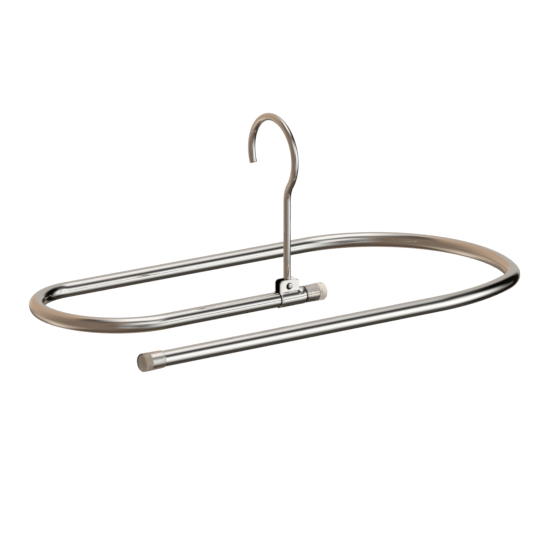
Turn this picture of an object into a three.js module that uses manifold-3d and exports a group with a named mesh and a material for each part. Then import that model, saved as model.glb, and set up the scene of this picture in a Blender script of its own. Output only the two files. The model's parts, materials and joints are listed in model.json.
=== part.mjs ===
// Spiral towel hanger: one steel tube bent flat into an open spiral, hung from a rod hook on a riveted clip.
// Millimetres and degrees. +Z up, +X along the runs towards the large bend, origin where a rail bears in the hook.
import * as THREE from 'three';
import Module from 'manifold-3d';
import { mergeVertices } from 'three/addons/utils/BufferGeometryUtils.js';

const wasm = await Module();
wasm.setup();

// Spiral tube
const tubeRadius = 6.35;
const tubeWall = 0.7;
const tubeInnerEndX = 28.3; // the pivot stands at X = 0
const middleRun = 145.8;
const backRun = 233.5;
const frontRun = 277;
const leftBends = [{ radius: 70, turn: -90 }, { radius: 48, turn: -90 }];
const rightBends = [{ radius: 113, turn: -112 }, { radius: 50, turn: -42 }, { radius: 184, turn: -26 }];

// Hook rod
const rodRadius = 3;
const rodBelowPivot = 3.5;
const pivotAboveTube = 11; // rivet axis over the tube's axis
const stemRun = 70.4; // from the rivet axis to the first bend
const neckBend = { radius: 24.5, turn: 37 };
const bowBend = { radius: 31.9, turn: -240 };

// Pivot bracket: a sheet-steel band round the tube, with two ears
const sheet = 0.7;
const bandGap = 0.2;
const earHalfGap = 3.15;
const earHalfWidth = 9.2;
const earTop = 16.1; // over the tube's axis
const earCorner = 3;
const earBendRadius = 1; // at the middle of the sheet
const ringLength = 4.8;
const notchWidth = 0.6; // between the ears and the closed ring
const seamWidth = 0.4;

// Rivet
const rivetRadius = 1.5;
const rivetClearance = 0.1;
const headRadius = 2.4;
const headHeight = 1.3;

// Vinyl caps
const capBoreGap = 0.2;
const capMouthRadius = 7;
const capEndRadius = 7.35;
const capSleeve = 11.8;
const capEndThickness = 7;
const capEndGap = 0.3;
const capCorner = 2;

// Facets
const tubeSides = 20;
const rodSides = 16;
const turnedSides = 24;
const bendStep = 7.5;
const straightSteps = 4;

const radians = THREE.MathUtils.degToRad;

// The centre line of a tube or rod bent in one plane, from straights { length } and bends { radius, turn }.
// place(u, v) puts a point of that plane in space.
class BentLine extends THREE.Curve {
  constructor({ start, heading, stretches, place }) {
    super();
    this.place = place;
    this.stations = [{ at: start.clone(), heading: radians(heading) }];
    for (const stretch of stretches) {
      if (stretch.length) this.addStraight(stretch.length);
      else this.addBend(stretch.radius, radians(stretch.turn));
    }
  }

  addStraight(length) {
    const { at, heading } = this.stations.at(-1);
    const along = new THREE.Vector2(Math.cos(heading), Math.sin(heading));
    for (let i = 1; i <= straightSteps; i++) {
      this.stations.push({ at: at.clone().addScaledVector(along, (length * i) / straightSteps), heading });
    }
  }

  addBend(radius, turn) {
    const { at, heading } = this.stations.at(-1);
    const toCentre = radius * Math.sign(turn);
    const fromCentre = (angle) => new THREE.Vector2(Math.sin(angle), -Math.cos(angle)).multiplyScalar(toCentre);
    const centre = at.clone().sub(fromCentre(heading));
    const steps = Math.ceil(Math.abs(turn) / radians(bendStep));
    for (let i = 1; i <= steps; i++) {
      const angle = heading + (turn * i) / steps;
      this.stations.push({ at: centre.clone().add(fromCentre(angle)), heading: angle });
    }
  }

  get steps() {
    return this.stations.length - 1;
  }

  get end() {
    return this.stations.at(-1).at;
  }

  getPointAt(u) {
    const { at } = this.stations[Math.round(u * this.steps)];
    return this.place(at.x, at.y);
  }

  getTangentAt(u) {
    const { heading } = this.stations[Math.round(u * this.steps)];
    return this.place(Math.cos(heading), Math.sin(heading));
  }
}

function circlePoints(radius, sides) {
  return Array.from({ length: sides }, (_, i) => {
    const angle = (2 * Math.PI * (i + 0.5)) / sides;
    return new THREE.Vector2(radius * Math.cos(angle), radius * Math.sin(angle));
  });
}

function sweep(section, line) {
  return new THREE.ExtrudeGeometry(section, { steps: line.steps, bevelEnabled: false, extrudePath: line });
}

// Points of an arc about (x, y), with a point at each whole bend step between its ends.
function arc(x, y, radius, from, to) {
  const angles = [from];
  const way = Math.sign(to - from);
  const next = way > 0 ? Math.floor(from / bendStep) + 1 : Math.ceil(from / bendStep) - 1;
  for (let i = next; way * (to - i * bendStep) > 0.5; i += way) angles.push(i * bendStep);
  angles.push(to);
  return angles.map((angle) => new THREE.Vector2(
    x + radius * Math.cos(radians(angle)),
    y + radius * Math.sin(radians(angle)),
  ));
}

function solid(geometry) {
  const bare = geometry.clone();
  bare.deleteAttribute('normal');
  bare.deleteAttribute('uv');
  const merged = mergeVertices(bare, 1e-5);
  return new wasm.Manifold(new wasm.Mesh({
    numProp: 3,
    vertProperties: new Float32Array(merged.attributes.position.array),
    triVerts: new Uint32Array(merged.index.array),
  }));
}

function geometryOf(manifold) {
  const { vertProperties, triVerts } = manifold.getMesh();
  const geometry = new THREE.BufferGeometry();
  geometry.setAttribute('position', new THREE.BufferAttribute(vertProperties, 3));
  geometry.setIndex(new THREE.BufferAttribute(triVerts, 1));
  geometry.computeVertexNormals();
  return geometry;
}

// Extrudes an outline drawn in Y and Z along X.
function extrudeAlongX(shape, fromX, toX) {
  return new THREE.ExtrudeGeometry(shape, { depth: toX - fromX, bevelEnabled: false, steps: 1 })
    .rotateX(Math.PI / 2)
    .rotateZ(Math.PI / 2)
    .translate(fromX, 0, 0);
}

// Extrudes an outline drawn in X and Z along Y, to the same depth each side of Y = 0.
function extrudeAcrossY(shape, depth) {
  return new THREE.ExtrudeGeometry(shape, { depth, bevelEnabled: false, steps: 1 })
    .rotateX(Math.PI / 2)
    .translate(0, depth / 2, 0);
}

function rivetHole() {
  const hole = new THREE.CylinderGeometry(rivetRadius + rivetClearance, rivetRadius + rivetClearance, 20, turnedSides);
  return solid(hole.translate(0, 0, pivotAboveTube));
}

const steel = () => new THREE.MeshStandardMaterial({ color: 0xcfccc6, roughness: 0.12, metalness: 1 });
const vinyl = () => new THREE.MeshStandardMaterial({ color: 0xcdbfae, roughness: 0.3, metalness: 0 });

function named(name, geometry, material) {
  const mesh = new THREE.Mesh(geometry, material);
  mesh.name = name;
  return mesh;
}

// The tube lies flat at Z = 0 here, with its inner end beyond the pivot.
const tubeLine = new BentLine({
  start: new THREE.Vector2(tubeInnerEndX, 0),
  heading: 180,
  stretches: [{ length: middleRun }, ...leftBends, { length: backRun }, ...rightBends, { length: frontRun }],
  place: (u, v) => new THREE.Vector3(u, v, 0),
});

// The hook stands over the tube in the plane X = 0, its bow leaning over the middle of the spiral.
const hookLine = new BentLine({
  start: new THREE.Vector2(0, pivotAboveTube - rodBelowPivot),
  heading: 90,
  stretches: [{ length: rodBelowPivot + stemRun }, neckBend, bowBend],
  place: (u, v) => new THREE.Vector3(0, u, v),
});

function makeTube() {
  const section = new THREE.Shape(circlePoints(tubeRadius, tubeSides));
  section.holes.push(new THREE.Path(circlePoints(tubeRadius - tubeWall, tubeSides)));
  return named('frame_tube', sweep(section, tubeLine), steel());
}

function makeHook() {
  const rod = solid(sweep(new THREE.Shape(circlePoints(rodRadius, rodSides)), hookLine));
  return named('hook_rod', geometryOf(rod.subtract(rivetHole())), steel());
}

// The band and both ears in section: a ring open at the top, whose ends turn upwards.
function bandSection() {
  const inner = tubeRadius + bandGap;
  const outer = inner + sheet;
  const bendY = earHalfGap + sheet / 2 + earBendRadius;
  const bendZ = Math.sqrt(((inner + outer) / 2 + earBendRadius) ** 2 - bendY ** 2);
  const bendAngle = THREE.MathUtils.radToDeg(Math.atan2(bendZ, bendY));
  const insideBend = earBendRadius - sheet / 2;
  const outsideBend = earBendRadius + sheet / 2;
  return new THREE.Shape([
    new THREE.Vector2(earHalfGap + sheet, earTop + 1),
    ...arc(bendY, bendZ, insideBend, 180, 180 + bendAngle),
    ...arc(0, 0, outer, bendAngle, -180 - bendAngle),
    ...arc(-bendY, bendZ, insideBend, -bendAngle, 0),
    new THREE.Vector2(-earHalfGap - sheet, earTop + 1),
    new THREE.Vector2(-earHalfGap, earTop + 1),
    ...arc(-bendY, bendZ, outsideBend, 0, -bendAngle),
    ...arc(0, 0, inner, -180 - bendAngle, bendAngle),
    ...arc(bendY, bendZ, outsideBend, 180 + bendAngle, 180),
    new THREE.Vector2(earHalfGap, earTop + 1),
  ]);
}

// The bracket from the side: the band's length below, and the ears with rounded top corners.
function earOutline() {
  const bandBottom = -tubeRadius - 2;
  const notchDepth = 3;
  const cornerZ = earTop - earCorner;
  const cornerX = earHalfWidth - earCorner;
  return new THREE.Shape([
    new THREE.Vector2(-earHalfWidth, bandBottom),
    new THREE.Vector2(earHalfWidth + notchWidth, bandBottom),
    new THREE.Vector2(earHalfWidth + notchWidth, notchDepth),
    new THREE.Vector2(earHalfWidth, notchDepth),
    ...arc(cornerX, cornerZ, earCorner, 0, 90),
    ...arc(-cornerX, cornerZ, earCorner, 90, 180),
  ]);
}

// The closed ring beside the ears, with its butt seam on top.
function ringSection() {
  const inner = tubeRadius + bandGap;
  const outer = inner + sheet;
  const seamAngle = THREE.MathUtils.radToDeg(seamWidth / 2 / inner);
  return new THREE.Shape([
    ...arc(0, 0, outer, 90 - seamAngle, -270 + seamAngle),
    ...arc(0, 0, inner, -270 + seamAngle, 90 - seamAngle),
  ]);
}

function makeBracket() {
  const bandEndX = earHalfWidth + notchWidth;
  const band = solid(extrudeAlongX(bandSection(), -earHalfWidth, bandEndX));
  const ears = band.intersect(solid(extrudeAcrossY(earOutline(), 20)));
  const ring = solid(extrudeAlongX(ringSection(), bandEndX - 0.2, bandEndX + ringLength));
  return named('pivot_bracket', geometryOf(ears.add(ring).subtract(rivetHole())), steel());
}

// A round head on each ear, joined by the shank that the hook turns on.
function makeRivet() {
  const seat = earHalfGap + sheet + rivetClearance;
  const domeSteps = 4;
  const dome = Array.from({ length: domeSteps }, (_, i) => {
    const angle = (Math.PI / 2) * (i / domeSteps);
    return new THREE.Vector2(headRadius * Math.cos(angle), seat + headHeight * Math.sin(angle));
  });
  const profile = [
    new THREE.Vector2(0, -seat - headHeight),
    ...dome.map((point) => new THREE.Vector2(point.x, -point.y)).reverse(),
    new THREE.Vector2(rivetRadius, -seat),
    new THREE.Vector2(rivetRadius, seat),
    ...dome,
    new THREE.Vector2(0, seat + headHeight),
  ];
  const rivet = named('pivot_rivet', new THREE.LatheGeometry(profile, turnedSides), steel());
  rivet.position.set(0, 0, pivotAboveTube);
  return rivet;
}

// A dipped cap: thin at its mouth, with a thick rounded end. Its mouth is at 0 on its own axis.
function capGeometry() {
  const bore = tubeRadius + capBoreGap;
  const boreEnd = capSleeve + capEndGap;
  const length = boreEnd + capEndThickness;
  return new THREE.LatheGeometry([
    new THREE.Vector2(0, boreEnd),
    new THREE.Vector2(bore, boreEnd),
    new THREE.Vector2(bore, 0),
    new THREE.Vector2(capMouthRadius, 0),
    ...arc(capEndRadius - capCorner, length - capCorner, capCorner, 0, 90).filter((_, i) => i % 3 === 0),
    new THREE.Vector2(0, length),
  ], turnedSides);
}

// The mouth faces back along the tube, away from the end at endX.
function makeCap(name, endX, y, outward) {
  const cap = named(name, capGeometry(), vinyl());
  cap.rotation.z = (-outward * Math.PI) / 2;
  cap.position.set(endX - outward * capSleeve, y, 0);
  return cap;
}

// The rail bears on the inside of the bow's highest point.
function railSeat() {
  const neck = radians(neckBend.turn);
  const centreY = -neckBend.radius * (1 - Math.cos(neck)) + bowBend.radius * Math.cos(neck);
  const centreZ = pivotAboveTube + stemRun + (neckBend.radius + bowBend.radius) * Math.sin(neck);
  return new THREE.Vector3(0, centreY, centreZ + bowBend.radius - rodRadius);
}

const hanger = new THREE.Group();
hanger.add(
  makeTube(),
  makeHook(),
  makeBracket(),
  makeRivet(),
  makeCap('inner_cap', tubeInnerEndX, 0, 1),
  makeCap('outer_cap', tubeLine.end.x, tubeLine.end.y, -1),
);
hanger.position.copy(railSeat()).negate();

export default hanger;
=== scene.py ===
"""The looks of a spiral towel hanger: polished steel tube and hook, riveted bracket, clear vinyl caps.

Shapes are worked out in millimetres about the tube's axis under the pivot, and placed in the frame in metres.
"""

import json
import math
from collections import namedtuple

import bmesh
import bpy
from mathutils import Matrix, Vector


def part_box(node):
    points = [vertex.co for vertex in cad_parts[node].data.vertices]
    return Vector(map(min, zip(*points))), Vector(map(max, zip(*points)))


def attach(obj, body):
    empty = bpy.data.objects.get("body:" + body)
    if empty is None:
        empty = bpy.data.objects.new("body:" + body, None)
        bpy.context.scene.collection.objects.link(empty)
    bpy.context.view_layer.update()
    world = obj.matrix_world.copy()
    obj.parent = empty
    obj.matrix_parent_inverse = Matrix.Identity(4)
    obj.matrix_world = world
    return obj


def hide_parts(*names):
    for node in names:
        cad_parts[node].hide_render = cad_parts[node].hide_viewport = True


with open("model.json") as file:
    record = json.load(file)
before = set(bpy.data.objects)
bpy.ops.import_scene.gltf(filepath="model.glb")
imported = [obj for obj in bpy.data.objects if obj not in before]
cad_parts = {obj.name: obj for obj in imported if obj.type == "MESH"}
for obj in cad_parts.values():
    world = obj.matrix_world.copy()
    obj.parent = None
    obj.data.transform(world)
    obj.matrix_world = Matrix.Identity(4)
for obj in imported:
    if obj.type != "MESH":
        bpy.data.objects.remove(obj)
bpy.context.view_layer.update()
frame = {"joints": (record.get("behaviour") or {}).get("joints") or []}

MM = 0.001

# Spiral tube
TUBE_RADIUS = 6.35
TUBE_WALL = 0.7
TUBE_INNER_END = 28.3
MIDDLE_RUN = 145.8
BACK_RUN = 233.5
FRONT_RUN = 277
LEFT_BENDS = [("bend", 70, -90), ("bend", 48, -90)]
RIGHT_BENDS = [("bend", 113, -112), ("bend", 50, -42), ("bend", 184, -26)]
BEND_FLATTENING = 0.12  # share of tube radius over bend radius by which a bend draws in
BEND_RUN_IN = 9.0  # a bend's flattening comes on over this far to each side of its ends

# Hook rod
ROD_RADIUS = 3
ROD_BELOW_PIVOT = 3.5
PIVOT_ABOVE_TUBE = 11
STEM_RUN = 70.4
NECK_BEND = ("bend", 24.5, 37)
BOW_BEND = ("bend", 31.9, -240)
ROD_END_ROUNDING = 0.5

# Bracket
SHEET = 0.7
BAND_GAP = 0.2
EAR_HALF_GAP = 3.15
EAR_HALF_WIDTH = 9.2
EAR_TOP = 16.1
EAR_CORNER = 3
EAR_BEND_RADIUS = 1
RING_LENGTH = 4.8
NOTCH_WIDTH = 0.6
NOTCH_DEPTH = 3
SEAM_WIDTH = 0.4
DEBURRED_EDGE = 0.12
EAR_CORNER_ARC = 84  # degrees: each top corner's round stops a little short of the level edge
BEVEL_ANGLE = 50  # degrees: edges sharper than this are deburred

# Rivet
RIVET_RADIUS = 1.5
RIVET_CLEARANCE = 0.1
HEAD_RADIUS = 2.4
HEAD_HEIGHT = 1.3
HEAD_WALL = 0.45  # the head's upright edge under its dome
HEAD_CHAMFER = 0.08  # round the head's foot

# Vinyl caps
CAP_BORE_GAP = 0.2
CAP_MOUTH_RADIUS = 7
CAP_END_RADIUS = 7.35
CAP_SLEEVE = 11.8
CAP_END_THICKNESS = 7
CAP_END_GAP = 0.3
CAP_CORNER = 2
CAP_BORE_CORNER = 0.6

# Fineness of the meshes
TUBE_SIDES = 56
ROD_SIDES = 40
TURNED_SIDES = 72
RIVET_SIDES = 48  # the rivet's, and the hole's
BEND_STEP = 2.0
STRAIGHT_STEP = 7
SHARP_ANGLE = 40
SHEET_SHARP_ANGLE = 35

PIVOT = Vector(frame["joints"][0]["pos_m"])
ORIGIN = PIVOT - Vector((0, 0, PIVOT_ABOVE_TUBE)) * MM
X_AXIS, Y_AXIS, Z_AXIS = Vector((1, 0, 0)), Vector((0, 1, 0)), Vector((0, 0, 1))


# ---------------------------------------------------------------- centre lines

Station = namedtuple("Station", "centre tangent side normal travelled curvature")


def bent_line(start, heading, stretches, plane):
    """Stations along a line of straights and bends drawn in one plane, given by its two axes."""
    u_axis, v_axis = plane
    normal = u_axis.cross(v_axis)
    stations = []

    def add(x, y, angle, travelled, curvature):
        tangent = u_axis * math.cos(angle) + v_axis * math.sin(angle)
        stations.append(Station(u_axis * x + v_axis * y, tangent, normal.cross(tangent), normal,
                                travelled, curvature))

    x, y = start
    angle = math.radians(heading)
    travelled = 0.0
    add(x, y, angle, travelled, 0)
    for stretch in stretches:
        if stretch[0] == "straight":
            length = stretch[1]
            steps = math.ceil(length / STRAIGHT_STEP)
            for _ in range(steps):
                x += math.cos(angle) * length / steps
                y += math.sin(angle) * length / steps
                travelled += length / steps
                add(x, y, angle, travelled, 0)
        else:
            radius, turn = stretch[1], math.radians(stretch[2])
            towards = math.copysign(radius, turn)
            centre_x = x - towards * math.sin(angle)
            centre_y = y + towards * math.cos(angle)
            steps = math.ceil(abs(stretch[2]) / BEND_STEP)
            for _ in range(steps):
                angle += turn / steps
                x = centre_x + towards * math.sin(angle)
                y = centre_y - towards * math.cos(angle)
                travelled += radius * abs(turn) / steps
                add(x, y, angle, travelled, 1 / radius)
    return stations


def smooth_curvature(stations):
    """A tube draws in gradually at a bend's ends, so its curvature is averaged over a short reach."""
    smoothed = []
    for here in stations:
        near = [s.curvature for s in stations if abs(s.travelled - here.travelled) <= BEND_RUN_IN]
        smoothed.append(here._replace(curvature=sum(near) / len(near)))
    return smoothed


# ---------------------------------------------------------------- mesh making


def loft(name, rings, travelled, around, closed=False):
    """A smooth mesh through rings of points in millimetres.

    Its UV is in metres: how far along, then how far around each ring.
    """
    sides = len(rings[0])
    mesh = bpy.data.meshes.new(name)
    points = [ORIGIN + p * MM for ring in rings for p in ring]
    faces, corner_uvs = [], []
    for i in range(len(rings) if closed else len(rings) - 1):
        j = (i + 1) % len(rings)
        for k in range(sides):
            m = (k + 1) % sides
            faces.append((i * sides + k, i * sides + m, j * sides + m, j * sides + k))
            left, right = around * k / sides, around * (k + 1) / sides
            near, far = travelled[i], travelled[j]
            corner_uvs += [(near, left), (near, right), (far, right), (far, left)]
    mesh.from_pydata(points, [], faces)
    layer = mesh.uv_layers.new(name="run")
    for loop, (u, v) in zip(layer.data, corner_uvs):
        loop.uv = (u * MM, v * MM)
    return finish_mesh(name, mesh)


def finish_mesh(name, mesh):
    """Merges the points on an axis, turns the faces outwards and smooths all but sharp edges."""
    work = bmesh.new()
    work.from_mesh(mesh)
    bmesh.ops.remove_doubles(work, verts=work.verts, dist=1e-7)
    bmesh.ops.dissolve_degenerate(work, edges=work.edges, dist=1e-7)
    bmesh.ops.recalc_face_normals(work, faces=work.faces)
    work.to_mesh(mesh)
    work.free()
    mesh.polygons.foreach_set("use_smooth", [True] * len(mesh.polygons))
    mesh.set_sharp_from_angle(angle=math.radians(SHARP_ANGLE))
    piece = bpy.data.objects.new(name, mesh)
    bpy.context.scene.collection.objects.link(piece)
    return piece


def ring_round(station, radius, sides, flattening=0.0):
    """Points round one station.

    A bend draws the ring in within the bend's plane, and lets it out by half as much across that plane.
    """
    draw = flattening * radius * station.curvature
    ring = []
    for k in range(sides):
        angle = 2 * math.pi * k / sides
        across = radius * (1 - draw) * math.cos(angle)
        out = radius * (1 + draw / 2) * math.sin(angle)
        ring.append(station.centre + station.side * across + station.normal * out)
    return ring


def turned(name, profile, axis, across, at, sides=TURNED_SIDES):
    """Turns a profile of (radius, height) points about an axis through a place."""
    third = axis.cross(across)
    rings, travelled = [], [0.0]
    for i, (radius, height) in enumerate(profile):
        ring = []
        for k in range(sides):
            angle = 2 * math.pi * k / sides
            ring.append(at + axis * height + across * (radius * math.cos(angle))
                        + third * (radius * math.sin(angle)))
        rings.append(ring)
        if i:
            travelled.append(travelled[-1] + math.dist(profile[i], profile[i - 1]))
    return loft(name, rings, travelled, 2 * math.pi * TUBE_RADIUS)


def arc(x, y, radius, start, end, steps):
    """Points of an arc, angles in degrees."""
    angles = [math.radians(start + (end - start) * i / steps) for i in range(steps + 1)]
    return [(x + radius * math.cos(angle), y + radius * math.sin(angle)) for angle in angles]


def apply_modifiers(piece):
    depsgraph = bpy.context.evaluated_depsgraph_get()
    made = bpy.data.meshes.new_from_object(piece.evaluated_get(depsgraph))
    piece.modifiers.clear()
    piece.data = made
    return piece


def cut_pivot_hole(piece):
    """Cuts the rivet's hole through a piece, along Y through the pivot."""
    radius = RIVET_RADIUS + RIVET_CLEARANCE
    reach = EAR_HALF_GAP + SHEET + 2
    profile = [(0, -reach), (radius, -reach), (radius, reach), (0, reach)]
    cutter = turned("pivot_hole", profile, Y_AXIS, X_AXIS, Z_AXIS * PIVOT_ABOVE_TUBE, RIVET_SIDES)
    cut = piece.modifiers.new("hole", "BOOLEAN")
    cut.operation = "DIFFERENCE"
    cut.solver = "EXACT"
    cut.object = cutter
    bpy.context.view_layer.update()
    apply_modifiers(piece)
    bpy.data.objects.remove(cutter)
    return piece


# ---------------------------------------------------------------- the pieces

def make_tube():
    """The hollow tube: its outside out to the far end, then its bore back to the start."""
    stretches = [("straight", MIDDLE_RUN), *LEFT_BENDS, ("straight", BACK_RUN), *RIGHT_BENDS,
                 ("straight", FRONT_RUN)]
    stations = smooth_curvature(bent_line((TUBE_INNER_END, 0), 180, stretches, (X_AXIS, Y_AXIS)))
    outside = [ring_round(s, TUBE_RADIUS, TUBE_SIDES, BEND_FLATTENING) for s in stations]
    bore = [ring_round(s, TUBE_RADIUS - TUBE_WALL, TUBE_SIDES, BEND_FLATTENING) for s in reversed(stations)]
    travelled = [s.travelled for s in stations]
    tube = loft("tube", outside + bore, travelled + travelled[::-1], 2 * math.pi * TUBE_RADIUS, closed=True)
    return tube, stations[-1].centre


def rod_end(station, outward):
    """Rings that close a rod's end with a small rounding, from the edge to the middle."""
    rings, steps = [], 5
    for i in range(steps + 1):
        angle = math.pi / 2 * i / steps
        back = ROD_END_ROUNDING * (1 - math.sin(angle))
        radius = ROD_RADIUS - ROD_END_ROUNDING * (1 - math.cos(angle))
        moved = station._replace(centre=station.centre - station.tangent * outward * back)
        rings.append(ring_round(moved, radius, ROD_SIDES))
    rings.append(ring_round(station, 0, ROD_SIDES))
    return rings


def make_hook():
    stretches = [("straight", ROD_BELOW_PIVOT + STEM_RUN), NECK_BEND, BOW_BEND]
    start = (0, PIVOT_ABOVE_TUBE - ROD_BELOW_PIVOT)
    stations = bent_line(start, 90, stretches, (Y_AXIS, Z_AXIS))
    first, last = stations[0], stations[-1]
    foot, tip = rod_end(first, -1), rod_end(last, 1)
    body = [ring_round(s, ROD_RADIUS, ROD_SIDES) for s in stations[1:-1]]
    travelled = ([first.travelled] * len(foot) + [s.travelled for s in stations[1:-1]]
                 + [last.travelled] * len(tip))
    rod = loft("hook", foot[::-1] + body + tip, travelled, 2 * math.pi * ROD_RADIUS)
    return cut_pivot_hole(rod)


def bracket_rows():
    """Rows across the bracket's sheet: (y, z, half length of the ears, whether the ring goes on from it)."""
    middle = TUBE_RADIUS + BAND_GAP + SHEET / 2
    bend_y = EAR_HALF_GAP + SHEET / 2 + EAR_BEND_RADIUS
    bend_z = math.sqrt((middle + EAR_BEND_RADIUS) ** 2 - bend_y ** 2)
    bend_angle = math.degrees(math.atan2(bend_z, bend_y))
    ear_y = EAR_HALF_GAP + SHEET / 2
    corner_z = EAR_TOP - EAR_CORNER
    half = EAR_HALF_WIDTH
    rows = []
    for x, z in arc(half - EAR_CORNER, corner_z, EAR_CORNER, EAR_CORNER_ARC, 0, 10):
        rows.append((ear_y, z, x, False))
    for i in (1, 2, 3):
        rows.append((ear_y, corner_z + (bend_z - corner_z) * i / 3, half, False))
    for y, z in arc(bend_y, bend_z, EAR_BEND_RADIUS, 180, 180 + bend_angle, 6)[1:]:
        rows.append((y, z, half, False))
    notch_angle = math.degrees(math.asin(NOTCH_DEPTH / middle))
    for y, z in arc(0, 0, middle, bend_angle, notch_angle, 6)[1:-1]:
        rows.append((y, z, half, False))
    for y, z in arc(0, 0, middle, notch_angle, -90, 24):
        rows.append((y, z, half, True))
    mirrored = [(-y, z, x, ring) for y, z, x, ring in reversed(rows[:-1])]
    return rows + mirrored, middle, notch_angle


def make_bracket():
    """One sheet: two ears and an open band, which runs on past a notch into a closed ring."""
    rows, middle, notch_angle = bracket_rows()
    ring_start = EAR_HALF_WIDTH + NOTCH_WIDTH
    ring_columns = (ring_start, ring_start + RING_LENGTH / 2, ring_start + RING_LENGTH)
    columns = [i / 4 for i in range(-4, 5)]
    work = bmesh.new()
    grid = []
    for y, z, half, ring in rows:
        line = [work.verts.new(Vector((c * half, y, z))) for c in columns]
        if ring:
            line += [work.verts.new(Vector((x, y, z))) for x in ring_columns]
        grid.append(line)
    for upper, lower in zip(grid, grid[1:]):
        for k in range(min(len(upper), len(lower)) - 1):
            work.faces.new((upper[k], upper[k + 1], lower[k + 1], lower[k]))
    seam = math.degrees(SEAM_WIDTH / 2 / middle)
    for way in (1, -1):
        lines = grid if way > 0 else grid[::-1]
        first_on_ring = next(line for line in lines if len(line) > len(columns))
        last = first_on_ring[len(columns):]
        for y, z in arc(0, 0, middle, notch_angle, 90 - seam, 14)[1:]:
            new = [work.verts.new(Vector((x, y * way, z))) for x in ring_columns]
            for k in range(2):
                work.faces.new((last[k], last[k + 1], new[k + 1], new[k]))
            last = new
    bmesh.ops.recalc_face_normals(work, faces=work.faces)
    for vert in work.verts:
        vert.co = ORIGIN + vert.co * MM
    mesh = bpy.data.meshes.new("bracket")
    work.to_mesh(mesh)
    work.free()
    bracket = bpy.data.objects.new("bracket", mesh)
    bpy.context.scene.collection.objects.link(bracket)
    thick = bracket.modifiers.new("sheet", "SOLIDIFY")
    thick.thickness = SHEET * MM
    thick.offset = 0
    thick.use_even_offset = True
    apply_modifiers(bracket)
    cut_pivot_hole(bracket)
    edge = bracket.modifiers.new("deburred", "BEVEL")
    edge.width = DEBURRED_EDGE * MM
    edge.segments = 3
    edge.limit_method = "ANGLE"
    edge.angle_limit = math.radians(BEVEL_ANGLE)
    apply_modifiers(bracket)
    mesh = bracket.data
    mesh.polygons.foreach_set("use_smooth", [True] * len(mesh.polygons))
    mesh.set_sharp_from_angle(angle=math.radians(SHEET_SHARP_ANGLE))
    return bracket


def make_rivet():
    seat = EAR_HALF_GAP + SHEET + RIVET_CLEARANCE
    dome = [(HEAD_RADIUS * math.cos(a), seat + HEAD_WALL + (HEAD_HEIGHT - HEAD_WALL) * math.sin(a))
            for a in (math.pi / 2 * i / 12 for i in range(12))]
    head = [(RIVET_RADIUS, seat), (HEAD_RADIUS - HEAD_CHAMFER, seat), (HEAD_RADIUS, seat + HEAD_CHAMFER),
            *dome, (0, seat + HEAD_HEIGHT)]
    profile = [(r, -h) for r, h in reversed(head)] + head
    return turned("rivet", profile, Y_AXIS, X_AXIS, Z_AXIS * PIVOT_ABOVE_TUBE, RIVET_SIDES)


def make_cap(name, end, outward):
    """A dipped cap on a tube's end: thin and rounded at its mouth, thick and round-cornered at its end."""
    bore = TUBE_RADIUS + CAP_BORE_GAP
    bore_end = CAP_SLEEVE + CAP_END_GAP
    length = bore_end + CAP_END_THICKNESS
    lip = (CAP_MOUTH_RADIUS - bore) / 2
    corner = arc(CAP_END_RADIUS - CAP_CORNER, length - CAP_CORNER, CAP_CORNER, 0, 90, 12)
    flare = [(CAP_MOUTH_RADIUS + (CAP_END_RADIUS - CAP_MOUTH_RADIUS) * (3 * t * t - 2 * t * t * t),
              lip + (length - CAP_CORNER - lip) * t) for t in (0.15, 0.3, 0.45, 0.6, 0.75, 0.9)]
    bore_corner = arc(bore - CAP_BORE_CORNER, bore_end - CAP_BORE_CORNER, CAP_BORE_CORNER, 90, 0, 4)
    profile = [(0, bore_end), (bore - CAP_BORE_CORNER, bore_end), *bore_corner[1:],
               *arc(bore + lip, lip, lip, 180, 360, 8), *flare, *corner, (0, length)]
    return turned(name, profile, X_AXIS * outward, Y_AXIS * outward, end - X_AXIS * outward * CAP_SLEEVE)


# ---------------------------------------------------------------- materials


def node(tree, kind, inputs=None, **settings):
    """Adds a shader node. An input is a number, a colour or another node's output."""
    made = tree.nodes.new(kind)
    for key, value in settings.items():
        setattr(made, key, value)
    for key, value in (inputs or {}).items():
        if isinstance(value, bpy.types.NodeSocket):
            tree.links.new(value, made.inputs[key])
        else:
            made.inputs[key].default_value = value
    return made


def calculate(tree, operation, *values):
    return node(tree, "ShaderNodeMath", dict(enumerate(values)), operation=operation).outputs[0]


def fade(tree, value, at_zero, at_one, low=0.0, high=1.0):
    """Smooth steps from low, where value is at_zero, to high, where it is at_one."""
    limits = {"Value": value, "From Min": at_zero, "From Max": at_one, "To Min": low, "To Max": high}
    return node(tree, "ShaderNodeMapRange", limits, interpolation_type="SMOOTHSTEP").outputs[0]


def fade_over(tree, value, span, full=1.0):
    """Grows from 0 to full over a span, given in millimetres."""
    start, end = span
    return fade(tree, value, start * MM, end * MM, 0, full)


def noise(tree, vector, scale, detail=2.0, distortion=0.0):
    """Noise with about scale cells in a metre, along each axis."""
    scaled = node(tree, "ShaderNodeMapping", {"Vector": vector, "Scale": scale})
    made = node(tree, "ShaderNodeTexNoise", {"Vector": scaled.outputs[0], "Scale": 1.0, "Detail": detail,
                                             "Distortion": distortion})
    return made.outputs["Fac"]


def along_the_run(tree, radius):
    """Where a point lies on a tube or rod as if it were straight: along it, then across its round section."""
    run = node(tree, "ShaderNodeUVMap", uv_map="run").outputs[0]
    along, around, _ = node(tree, "ShaderNodeSeparateXYZ", {0: run}).outputs
    angle = calculate(tree, "DIVIDE", around, radius)
    across = calculate(tree, "MULTIPLY", calculate(tree, "COSINE", angle), radius)
    up = calculate(tree, "MULTIPLY", calculate(tree, "SINE", angle), radius)
    return node(tree, "ShaderNodeCombineXYZ", {0: along, 1: across, 2: up}).outputs[0]


def mixed(tree, share, first, second):
    colours = {"Factor": share, 6: first, 7: second}
    return node(tree, "ShaderNodeMix", colours, data_type="RGBA").outputs[2]


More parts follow.
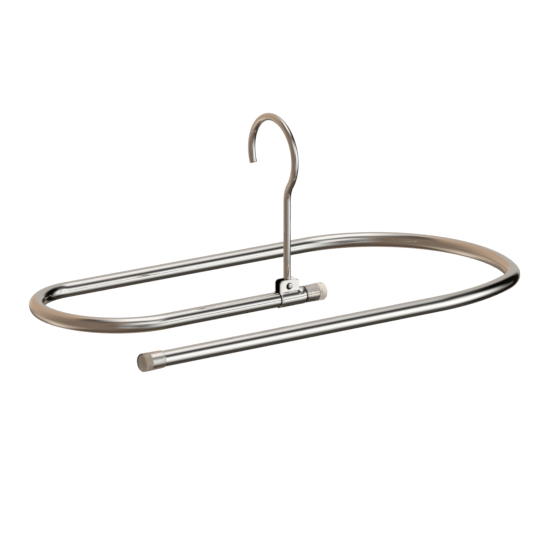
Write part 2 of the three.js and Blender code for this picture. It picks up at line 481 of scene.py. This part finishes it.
def bumped(tree, height, distance, normal=None):
    inputs = {"Height": height, "Distance": distance, "Strength": 1.0}
    if normal:
        inputs["Normal"] = normal
    return node(tree, "ShaderNodeBump", inputs).outputs[0]


def new_material(name):
    material = bpy.data.materials.new(name)
    material.use_nodes = True
    return material, material.node_tree, material.node_tree.nodes["Principled BSDF"]


def object_place(tree):
    return node(tree, "ShaderNodeTexCoord").outputs["Object"]


def from_point(tree, point):
    """How far the surface is from a point of the object, in metres, along X, Y and Z."""
    moved = node(tree, "ShaderNodeVectorMath", {0: object_place(tree), 1: point}, operation="SUBTRACT")
    return node(tree, "ShaderNodeSeparateXYZ", {0: moved.outputs[0]}).outputs


def distance_from_line(tree, first, second, line):
    """How far the surface is from a line along one axis, by the places of both along the other two.

    The surface's are in metres, and the line's in millimetres.
    """
    apart = calculate(tree, "SUBTRACT", first, line[0] * MM)
    aside = calculate(tree, "SUBTRACT", second, line[1] * MM)
    squares = calculate(tree, "MULTIPLY_ADD", apart, apart, calculate(tree, "MULTIPLY", aside, aside))
    return calculate(tree, "SQRT", squares)


# Cells of noise in a metre, along each axis
DRAWN_LINES = (30, 2400, 2400)
STEEL_CLOUD = (55, 55, 55)
STEEL_HANDLED = (26, 26, 40)
STEEL_SPECKS = (900, 900, 900)
STEEL_SWELL = (24, 24, 24)
VINYL_CLOUD = (260, 260, 260)
VINYL_SCUFFS = (500, 1500, 1500)
CREASE_WAVES = (350, 350, 350)
RIM_WAVES = (420, 420, 420)

# Levels of noise between which a mark comes on
HANDLED_LEVELS = (0.52, 0.68)
SPECK_LEVELS = (0.66, 0.74)
SCUFF_LEVELS = (0.58, 0.72)

# How far each noise stands out as a bump, in metres. The specks are pits.
SWELL_HEIGHT = 2e-5
SPECK_HEIGHT = -4e-6
LINE_HEIGHT = 3e-6
VINYL_HEIGHT = 1.5e-5

# What each mark adds to the roughness
LINE_ROUGHNESS = 0.05
CLOUD_ROUGHNESS = 0.04
HANDLED_ROUGHNESS = 0.05
SPECK_ROUGHNESS = 0.08
# Painted shade also makes the steel rougher where it lies
PAINTED_SHADE_ROUGHNESS = 0.3
SCUFF_ROUGHNESS = 0.08
MILKY_ROUGHNESS = 0.10

TUBE_ROUGHNESS = 0.055
SHEET_ROUGHNESS = 0.10
STEEL_BRIGHT = (0.80, 0.79, 0.775, 1)
STEEL_DULL = (0.76, 0.75, 0.735, 1)
# Painted shade: the dark colour laid on steel in corners, in gaps and round the rivet heads
PAINTED_SHADE = (0.035, 0.032, 0.028, 1)

# Where the painted shade lies, in millimetres
RING_SHADE_OFF = 0.6  # its middle from the ring's end
RING_SHADE_REACH = 1.1
BAND_SHADE_OFF = 0.2
BAND_SHADE_REACH = 0.8
SHADE_CORE = 0.6  # share of its reach where it is thickest
GAP_SHADE_SPAN = (4.5, 2.0)  # along X from the pivot
HEAD_SHADE_LINE = (-0.35, -0.35)  # the painted shade's middle, off the rivet's axis along X and Z
HEAD_SHADE_SPAN = (HEAD_RADIUS + 0.75, HEAD_RADIUS + 0.4)
FOOT_SHADE_LINE = (0.3, 0.3)  # the middle of the part left unshaded, off the same axis
FOOT_SHADE_SPAN = (HEAD_RADIUS - 0.7, HEAD_RADIUS - 0.1)
FOOT_SHADE_SHARE = 0.9


def steel(name, roughness, bar_radius=0, painted_shade_share=None):
    """Polished stainless steel: fine drawing lines, a faint wobble, and dull patches where it is handled.

    The lines run along a tube or rod of the given radius, and along X on sheet. The last argument makes the
    nodes that say where shade is painted in as dark steel, from 0 to 1.
    """
    material, tree, shader = new_material(name)
    place = object_place(tree)
    along = along_the_run(tree, bar_radius * MM) if bar_radius else place
    drawn = noise(tree, along, DRAWN_LINES, 3)
    cloud = noise(tree, place, STEEL_CLOUD, 4)
    handled = fade(tree, noise(tree, place, STEEL_HANDLED, 3, 0.6), *HANDLED_LEVELS)
    specks = fade(tree, noise(tree, place, STEEL_SPECKS, 2), *SPECK_LEVELS)
    swell = noise(tree, place, STEEL_SWELL, 1)
    rough = calculate(tree, "MULTIPLY_ADD", drawn, LINE_ROUGHNESS, roughness - LINE_ROUGHNESS / 2)
    rough = calculate(tree, "MULTIPLY_ADD", cloud, CLOUD_ROUGHNESS, rough)
    rough = calculate(tree, "MULTIPLY_ADD", handled, HANDLED_ROUGHNESS, rough)
    rough = calculate(tree, "MULTIPLY_ADD", specks, SPECK_ROUGHNESS, rough)
    colour = mixed(tree, cloud, STEEL_BRIGHT, STEEL_DULL)
    # Shade is painted in here: the steel turns dark where the mask says shade falls
    if painted_shade_share:
        shaded = painted_shade_share(tree)
        colour = mixed(tree, shaded, colour, PAINTED_SHADE)
        rough = calculate(tree, "MULTIPLY_ADD", shaded, PAINTED_SHADE_ROUGHNESS, rough)
    tree.links.new(rough, shader.inputs["Roughness"])
    tree.links.new(colour, shader.inputs["Base Color"])
    shader.inputs["Metallic"].default_value = 1
    waved = bumped(tree, swell, SWELL_HEIGHT)
    pitted = bumped(tree, specks, SPECK_HEIGHT, normal=waved)
    tree.links.new(bumped(tree, drawn, LINE_HEIGHT, normal=pitted), shader.inputs["Normal"])
    return material


def painted_shade_beside_the_clip(tree):
    """Painted shade on the tube in the corners at the clip's two ends, by the distance travelled along the
    tube.
    """
    run = node(tree, "ShaderNodeUVMap", uv_map="run").outputs[0]
    travelled = node(tree, "ShaderNodeSeparateXYZ", {0: run}).outputs[0]
    ring_end = EAR_HALF_WIDTH + NOTCH_WIDTH + RING_LENGTH
    share = 0.0
    for x, reach in ((ring_end + RING_SHADE_OFF, RING_SHADE_REACH),
                     (-EAR_HALF_WIDTH - BAND_SHADE_OFF, BAND_SHADE_REACH)):
        off = calculate(tree, "SUBTRACT", travelled, (TUBE_INNER_END - x) * MM)
        here = fade_over(tree, calculate(tree, "ABSOLUTE", off), (reach, SHADE_CORE * reach))
        share = calculate(tree, "MAXIMUM", here, share)
    return share


def painted_shade_on_the_clip(tree):
    """Painted shade darkens the gap between the ears and one side round each rivet head.

    It also lies under the band, below the gap, and it leaves the +X end of both unshaded.
    """
    x, y, z = from_point(tree, PIVOT)
    depth = calculate(tree, "ABSOLUTE", y)
    inside = fade_over(tree, depth, (EAR_HALF_GAP + 0.5 * SHEET, EAR_HALF_GAP + 0.1 * SHEET))
    gap = calculate(tree, "MULTIPLY", inside, fade_over(tree, x, GAP_SHADE_SPAN))
    off_head = distance_from_line(tree, x, z, HEAD_SHADE_LINE)
    round_head = fade_over(tree, off_head, HEAD_SHADE_SPAN)
    return calculate(tree, "MAXIMUM", gap, round_head)


def painted_shade_on_the_rivet(tree):
    """Painted shade: a dark line round part of the foot of each head."""
    x, _, z = from_point(tree, PIVOT)
    off_middle = distance_from_line(tree, x, z, FOOT_SHADE_LINE)
    return fade_over(tree, off_middle, FOOT_SHADE_SPAN, FOOT_SHADE_SHARE)


# The first colour is a painted dark refraction, for the outer cap's rim
PAINTED_DARK_REFRACTION = (0.012, 0.010, 0.009, 1)
DUSTY_FILM = (0.86, 0.74, 0.66, 1)
CREASE_RED = (0.17, 0.07, 0.05, 1)
VINYL_TINT = (0.86, 0.72, 0.58, 1)
VINYL_DENSITY = 40.0
VINYL_IOR = 1.46
MILKY_CLEARNESS = 0.55
MILKY_REACH = 1.5  # the vinyl turns milky over this far to each side of where the solid end starts

# A cap's looks: the colours of its thin sleeve and its thick end, and how rough and how clear the sleeve is
CapLooks = namedtuple("CapLooks", "sleeve milky roughness clearness")
INNER_LOOKS = CapLooks((0.97, 0.935, 0.90, 1), (0.95, 0.90, 0.81, 1), 0.06, 0.96)
# The outer cap's thick end is given a far darker milky colour than the inner cap's, as painted shade
OUTER_LOOKS = CapLooks((0.985, 0.98, 0.97, 1), (0.45, 0.385, 0.31, 1), 0.05, 0.985)


def vinyl(name, looks, cad_node, outward, tube_end, stains_and_painted_refraction):
    """Soft clear vinyl, which turns milky where the cap's solid end starts.

    The last argument lists pairs of a function that makes the nodes for where a mark is, from 0 to 1, and its
    colour: real stains, and a painted dark refraction.
    """
    low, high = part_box(cad_node)
    end = high.x if outward > 0 else low.x
    clear_x = end - outward * (CAP_END_THICKNESS + MILKY_REACH) * MM
    milky_x = end - outward * (CAP_END_THICKNESS - MILKY_REACH) * MM
    material, tree, shader = new_material(name)
    place = object_place(tree)
    along = node(tree, "ShaderNodeSeparateXYZ", {0: place}).outputs[0]
    thick = fade(tree, along, clear_x, milky_x)
    cloud = noise(tree, place, VINYL_CLOUD, 3, 0.4)
    uneven = calculate(tree, "MULTIPLY_ADD", cloud, 0.5, 0.75)
    milky = calculate(tree, "MULTIPLY", thick, uneven)
    scuffs = fade(tree, noise(tree, place, VINYL_SCUFFS, 2), *SCUFF_LEVELS)
    rough = calculate(tree, "MULTIPLY_ADD", scuffs, SCUFF_ROUGHNESS, looks.roughness)
    rough = calculate(tree, "MULTIPLY_ADD", thick, MILKY_ROUGHNESS, rough)
    colour = mixed(tree, milky, looks.sleeve, looks.milky)
    clear = fade(tree, milky, 0, 1, looks.clearness, MILKY_CLEARNESS)
    for mark_share, mark_colour in stains_and_painted_refraction:
        share = mark_share(tree, tube_end)
        colour = mixed(tree, share, colour, mark_colour)
        clear = calculate(tree, "MULTIPLY", clear, calculate(tree, "SUBTRACT", 1.0, share))
    tree.links.new(colour, shader.inputs["Base Color"])
    tree.links.new(clear, shader.inputs["Transmission Weight"])
    tree.links.new(rough, shader.inputs["Roughness"])
    tree.links.new(bumped(tree, cloud, VINYL_HEIGHT), shader.inputs["Normal"])
    shader.inputs["IOR"].default_value = VINYL_IOR
    tinted = node(tree, "ShaderNodeVolumeAbsorption", {"Color": VINYL_TINT, "Density": VINYL_DENSITY})
    tree.links.new(tinted.outputs[0], tree.nodes["Material Output"].inputs["Volume"])
    return material


# The inner cap's film and crease, in millimetres from the middle of the tube's end
FILM_SPAN = (1.4, 4.0)
FILM_SHARE = 0.27
CREASE_WAVE = 1.2
CREASE_CORE = 0.12
CREASE_SHARE = 0.85
CREASE_ALONG = 2.5
CREASE_HALF_WIDTH = 0.5
CREASE_TOP = (4.4, 3.4)
CREASE_FOOT = (-4.6, -3.4)
CREASE_FRONT = (-1.0, -2.5)
BRANCH_BELOW = 1.8
BRANCH_HALF_WIDTH = 0.45
BRANCH_START = (1.6, 2.4)

# The painted dark crescent in the outer cap's rim, in millimetres
CRESCENT_CIRCLE = (-4.0, 0.0)  # the circle's middle, off the tube's axis along Y and Z
CRESCENT_WAVE = 0.9
CRESCENT_EDGE = (7.9, 8.4)
CRESCENT_START = (0.7, -0.2)  # from where the end's corner starts
CRESCENT_SHARE = 0.95


def film_on_top(tree, tube_end):
    """A dusty film lies on the upper side of the inner cap."""
    up = from_point(tree, ORIGIN + tube_end * MM)[2]
    return fade_over(tree, up, FILM_SPAN, FILM_SHARE)


def drawn_line(tree, off, half_width):
    """A line where off is 0, with soft edges."""
    return fade_over(tree, calculate(tree, "ABSOLUTE", off), (half_width, CREASE_CORE))


def crease(tree, tube_end):
    """A red-brown crease down the inner cap's front, just past the tube's end, with a branch outwards."""
    along, across, up = from_point(tree, ORIGIN + tube_end * MM)
    wave = calculate(tree, "MULTIPLY", noise(tree, object_place(tree), CREASE_WAVES, 2), CREASE_WAVE * MM)
    off_line = calculate(tree, "SUBTRACT", calculate(tree, "ADD", along, wave), CREASE_ALONG * MM)
    off_branch = calculate(tree, "ADD", calculate(tree, "ADD", up, wave), BRANCH_BELOW * MM)
    below_top = fade_over(tree, up, CREASE_TOP)
    above_foot = fade_over(tree, up, CREASE_FOOT)
    line = calculate(tree, "MULTIPLY", drawn_line(tree, off_line, CREASE_HALF_WIDTH),
                     calculate(tree, "MULTIPLY", below_top, above_foot))
    branch = calculate(tree, "MULTIPLY", drawn_line(tree, off_branch, BRANCH_HALF_WIDTH),
                       fade_over(tree, along, BRANCH_START))
    front = fade_over(tree, across, CREASE_FRONT, CREASE_SHARE)
    return calculate(tree, "MULTIPLY", calculate(tree, "MAXIMUM", line, branch), front)


def painted_dark_crescent(tree, tube_end):
    """Painted dark refraction: a crescent in the back of the outer cap's rim, outside a circle set off to the
    front.
    """
    along, across, up = from_point(tree, ORIGIN + tube_end * MM)
    off = distance_from_line(tree, across, up, CRESCENT_CIRCLE)
    ragged = noise(tree, object_place(tree), RIM_WAVES, 2)
    off = calculate(tree, "MULTIPLY_ADD", ragged, CRESCENT_WAVE * MM, off)
    outside = fade_over(tree, off, CRESCENT_EDGE)
    corner = -(CAP_END_GAP + CAP_END_THICKNESS - CAP_CORNER)
    on_the_end = fade_over(tree, along, [corner + x for x in CRESCENT_START], CRESCENT_SHARE)
    return calculate(tree, "MULTIPLY", outside, on_the_end)


# ---------------------------------------------------------------- camera, floor and light

VIEW_AZIMUTH = 33.375  # the camera stands this far towards -X of straight in front
VIEW_ELEVATION = 16.795
VIEW_DISTANCE = 3486.1
VIEW_CENTRE = Vector((-5.0, 9.52, 17.24))  # from the tube's axis under the pivot
LENS = 279.37
SENSOR = 36
FLOOR_HEIGHT = -0.5
FLOOR_REACH = 12
FLOOR_PAINT = (0.9, 0.9, 0.9, 1)
FLOOR_ROUGHNESS = 0.9


def direction_to(azimuth, elevation):
    """A direction, by its azimuth from +Y towards +X and its height above the horizon, in degrees."""
    azimuth, elevation = math.radians(azimuth), math.radians(elevation)
    return Vector((math.sin(azimuth) * math.cos(elevation), math.cos(azimuth) * math.cos(elevation),
                   math.sin(elevation)))


def make_camera():
    forward = direction_to(VIEW_AZIMUTH, -VIEW_ELEVATION)
    data = bpy.data.cameras.new("camera")
    data.lens = LENS
    data.sensor_width = SENSOR
    data.clip_start, data.clip_end = 0.05, 50
    camera = bpy.data.objects.new("camera", data)
    camera.location = ORIGIN + VIEW_CENTRE * MM - forward * VIEW_DISTANCE * MM
    camera.rotation_mode = "QUATERNION"
    camera.rotation_quaternion = forward.to_track_quat("-Z", "Y")
    bpy.context.scene.collection.objects.link(camera)
    bpy.context.scene.camera = camera


def make_floor():
    mesh = bpy.data.meshes.new("floor")
    around = ((-1, -1), (1, -1), (1, 1), (-1, 1))
    corners = [(x * FLOOR_REACH, y * FLOOR_REACH, FLOOR_HEIGHT) for x, y in around]
    mesh.from_pydata(corners, [], [(0, 1, 2, 3)])
    floor = bpy.data.objects.new("floor", mesh)
    bpy.context.scene.collection.objects.link(floor)
    material, _, shader = new_material("floor_paint")
    shader.inputs["Base Color"].default_value = FLOOR_PAINT
    shader.inputs["Roughness"].default_value = FLOOR_ROUGHNESS
    mesh.materials.append(material)
    floor.visible_glossy = False
    floor.visible_transmission = False


STUDIO_STRENGTH = 1.3
PLAIN_LIGHT = 0.5
ROOM_TOP = (0.002, 0.005, 0.008)
ROOM_BOTTOM = (0.080, 0.058, 0.043)

# Soft-edged cards, each laid over those before it. Angles are in degrees, and azimuth runs from +Y to +X.
Card = namedtuple("Card", "name azimuth elevation roll half_width half_height softness colour")
STUDIO_CARDS = [
    Card("warm wall", -15, 22, -30, 101, 47, 0.20, (0.455, 0.328, 0.235)),
    Card("low wall", -35, -37, 8, 52, 19, 0.55, (0.80, 0.68, 0.54)),
    Card("shade over the wall", -105, 64, -11, 19, 34, 0.42, (0.032, 0.030, 0.025)),
    Card("left front", -111, 3, 12, 62, 61, 0.70, (0.19, 0.14, 0.105)),
    Card("front", 168, 7, 11, 34, 32, 0.53, (0.83, 0.84, 0.83)),
    Card("dark floor", 129, -32, 18, 81, 18, 0.43, (0.001, 0.001, 0.001)),
    Card("grey back wall", 46, 1, -8, 25, 45, 0.25, (0.42, 0.39, 0.355)),
    Card("shade under the wall", 32, -32, 3, 51, 20, 0.47, (0.20, 0.155, 0.12)),
    Card("overhead sheet", 89, 71, 33, 26, 21, 0.55, (0.95, 0.925, 0.90)),
    Card("gap under the sheet", 125, 41, -30, 33, 6.8, 0.58, (0.004, 0.002, 0.001)),
    Card("strip under the softbox", 111, -51, 13, 64, 9.3, 0.50, (0.052, 0.046, 0.037)),
    Card("softbox", 133, -2, -36, 34, 20, 0.93, (1.05, 1.05, 1.03)),
    Card("black flag", 90, 21, -14, 22, 28, 0.46, (0.003, 0.003, 0.002)),
    Card("black flag's foot", 79, -17, 0, 14, 26, 0.25, (0.005, 0.004, 0.004)),
]


def card_rotation(card):
    """Turns the card's own axes, right, outwards and up, into the room's."""
    outwards = direction_to(card.azimuth, card.elevation)
    azimuth = math.radians(card.azimuth)
    level = Vector((math.cos(azimuth), -math.sin(azimuth), 0))
    right = Matrix.Rotation(math.radians(card.roll), 3, outwards).transposed() @ level
    return Matrix((right, outwards, right.cross(outwards))).transposed().to_euler()


def add_card(tree, direction, card, behind):
    """Lays a soft-edged card over what is behind it, measured in angles from the card's middle."""
    turned_to = node(tree, "ShaderNodeMapping", {"Vector": direction, "Rotation": card_rotation(card)},
                     vector_type="TEXTURE")
    local = node(tree, "ShaderNodeSeparateXYZ", {0: turned_to.outputs[0]}).outputs
    sideways = calculate(tree, "ABSOLUTE", calculate(tree, "ARCTAN2", local[0], local[1]))
    upwards = calculate(tree, "ABSOLUTE", calculate(tree, "ARCSINE", local[2]))
    share = 1.0
    for angle, half in ((sideways, card.half_width), (upwards, card.half_height)):
        size = math.radians(half)
        inside = fade(tree, angle, size * (1 + card.softness), size * (1 - card.softness))
        share = calculate(tree, "MULTIPLY", inside, share)
    return mixed(tree, share, behind, (*card.colour, 1))


def make_world():
    """Only mirrored and refracted rays see the studio, a warm room with cards in it.

    The camera sees a plain white back, and matt surfaces are lit by a plain white room.
    """
    world = bpy.data.worlds.new("studio")
    bpy.context.scene.world = world
    world.use_nodes = True
    tree = world.node_tree
    direction = node(tree, "ShaderNodeTexCoord").outputs["Generated"]
    height = node(tree, "ShaderNodeSeparateXYZ", {0: direction}).outputs[2]
    share = node(tree, "ShaderNodeMapRange", {"Value": height, "From Min": -1.0}).outputs[0]
    colour = mixed(tree, share, (*ROOM_BOTTOM, 1), (*ROOM_TOP, 1))
    for card in STUDIO_CARDS:
        colour = add_card(tree, direction, card, colour)
    room = node(tree, "ShaderNodeBackground", {"Color": colour, "Strength": STUDIO_STRENGTH})
    plain = node(tree, "ShaderNodeBackground", {"Color": (1, 1, 1, 1), "Strength": PLAIN_LIGHT})
    back = node(tree, "ShaderNodeBackground", {"Color": (1, 1, 1, 1), "Strength": 1.0})
    ray = node(tree, "ShaderNodeLightPath").outputs
    lit = node(tree, "ShaderNodeMixShader",
               {0: ray["Is Diffuse Ray"], 1: room.outputs[0], 2: plain.outputs[0]})
    shown = node(tree, "ShaderNodeMixShader",
                 {0: ray["Is Camera Ray"], 1: lit.outputs[0], 2: back.outputs[0]})
    tree.links.new(shown.outputs[0], tree.nodes["World Output"].inputs["Surface"])


KEY_STRENGTH = 2.7
KEY_AZIMUTH = 130
KEY_ELEVATION = 50
KEY_SPREAD = 60


def make_key_light():
    """A broad soft key from the right front. The steel mirrors the room's cards, and not this lamp."""
    data = bpy.data.lights.new("key", "SUN")
    data.energy = KEY_STRENGTH
    data.angle = math.radians(KEY_SPREAD)
    key = bpy.data.objects.new("key", data)
    key.rotation_mode = "QUATERNION"
    key.rotation_quaternion = direction_to(KEY_AZIMUTH, KEY_ELEVATION).to_track_quat("Z", "Y")
    key.visible_glossy = False
    key.visible_transmission = False
    bpy.context.scene.collection.objects.link(key)


# ---------------------------------------------------------------- putting it together

tube_near_end = Vector((TUBE_INNER_END, 0, 0))
tube, tube_far_end = make_tube()
hook = make_hook()
bracket = make_bracket()
rivet = make_rivet()
inner_cap = make_cap("cap_inner", tube_near_end, 1)
outer_cap = make_cap("cap_outer", tube_far_end, -1)

tube_steel = steel("tube_steel", TUBE_ROUGHNESS, TUBE_RADIUS, painted_shade_beside_the_clip)
rod_steel = steel("rod_steel", TUBE_ROUGHNESS, ROD_RADIUS)
sheet_steel = steel("sheet_steel", SHEET_ROUGHNESS, painted_shade_share=painted_shade_on_the_clip)
rivet_steel = steel("rivet_steel", SHEET_ROUGHNESS, painted_shade_share=painted_shade_on_the_rivet)
inner_vinyl = vinyl("inner_vinyl", INNER_LOOKS, "inner_cap", 1, tube_near_end,
                    [(film_on_top, DUSTY_FILM), (crease, CREASE_RED)])
# The outer cap's rim gets a painted dark refraction
outer_vinyl = vinyl("outer_vinyl", OUTER_LOOKS, "outer_cap", -1, tube_far_end,
                    [(painted_dark_crescent, PAINTED_DARK_REFRACTION)])

finishes = [
    (tube, tube_steel, "frame", "frame_tube", "tube_steel"),
    (hook, rod_steel, "hook", "hook_rod", "rod_steel"),
    (bracket, sheet_steel, "frame", "pivot_bracket", "sheet_steel"),
    (rivet, rivet_steel, "frame", "pivot_rivet", "rivet_steel"),
    (inner_cap, inner_vinyl, "frame", "inner_cap", "cap_vinyl"),
    (outer_cap, outer_vinyl, "frame", "outer_cap", "cap_vinyl"),
]
for piece, material, body, cad_node, slot in finishes:
    piece.data.materials.clear()
    piece.data.materials.append(material)
    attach(piece, body)
    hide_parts(cad_node)

make_camera()
make_floor()
make_world()
make_key_light()
bpy.context.scene.view_settings.view_transform = "Standard"
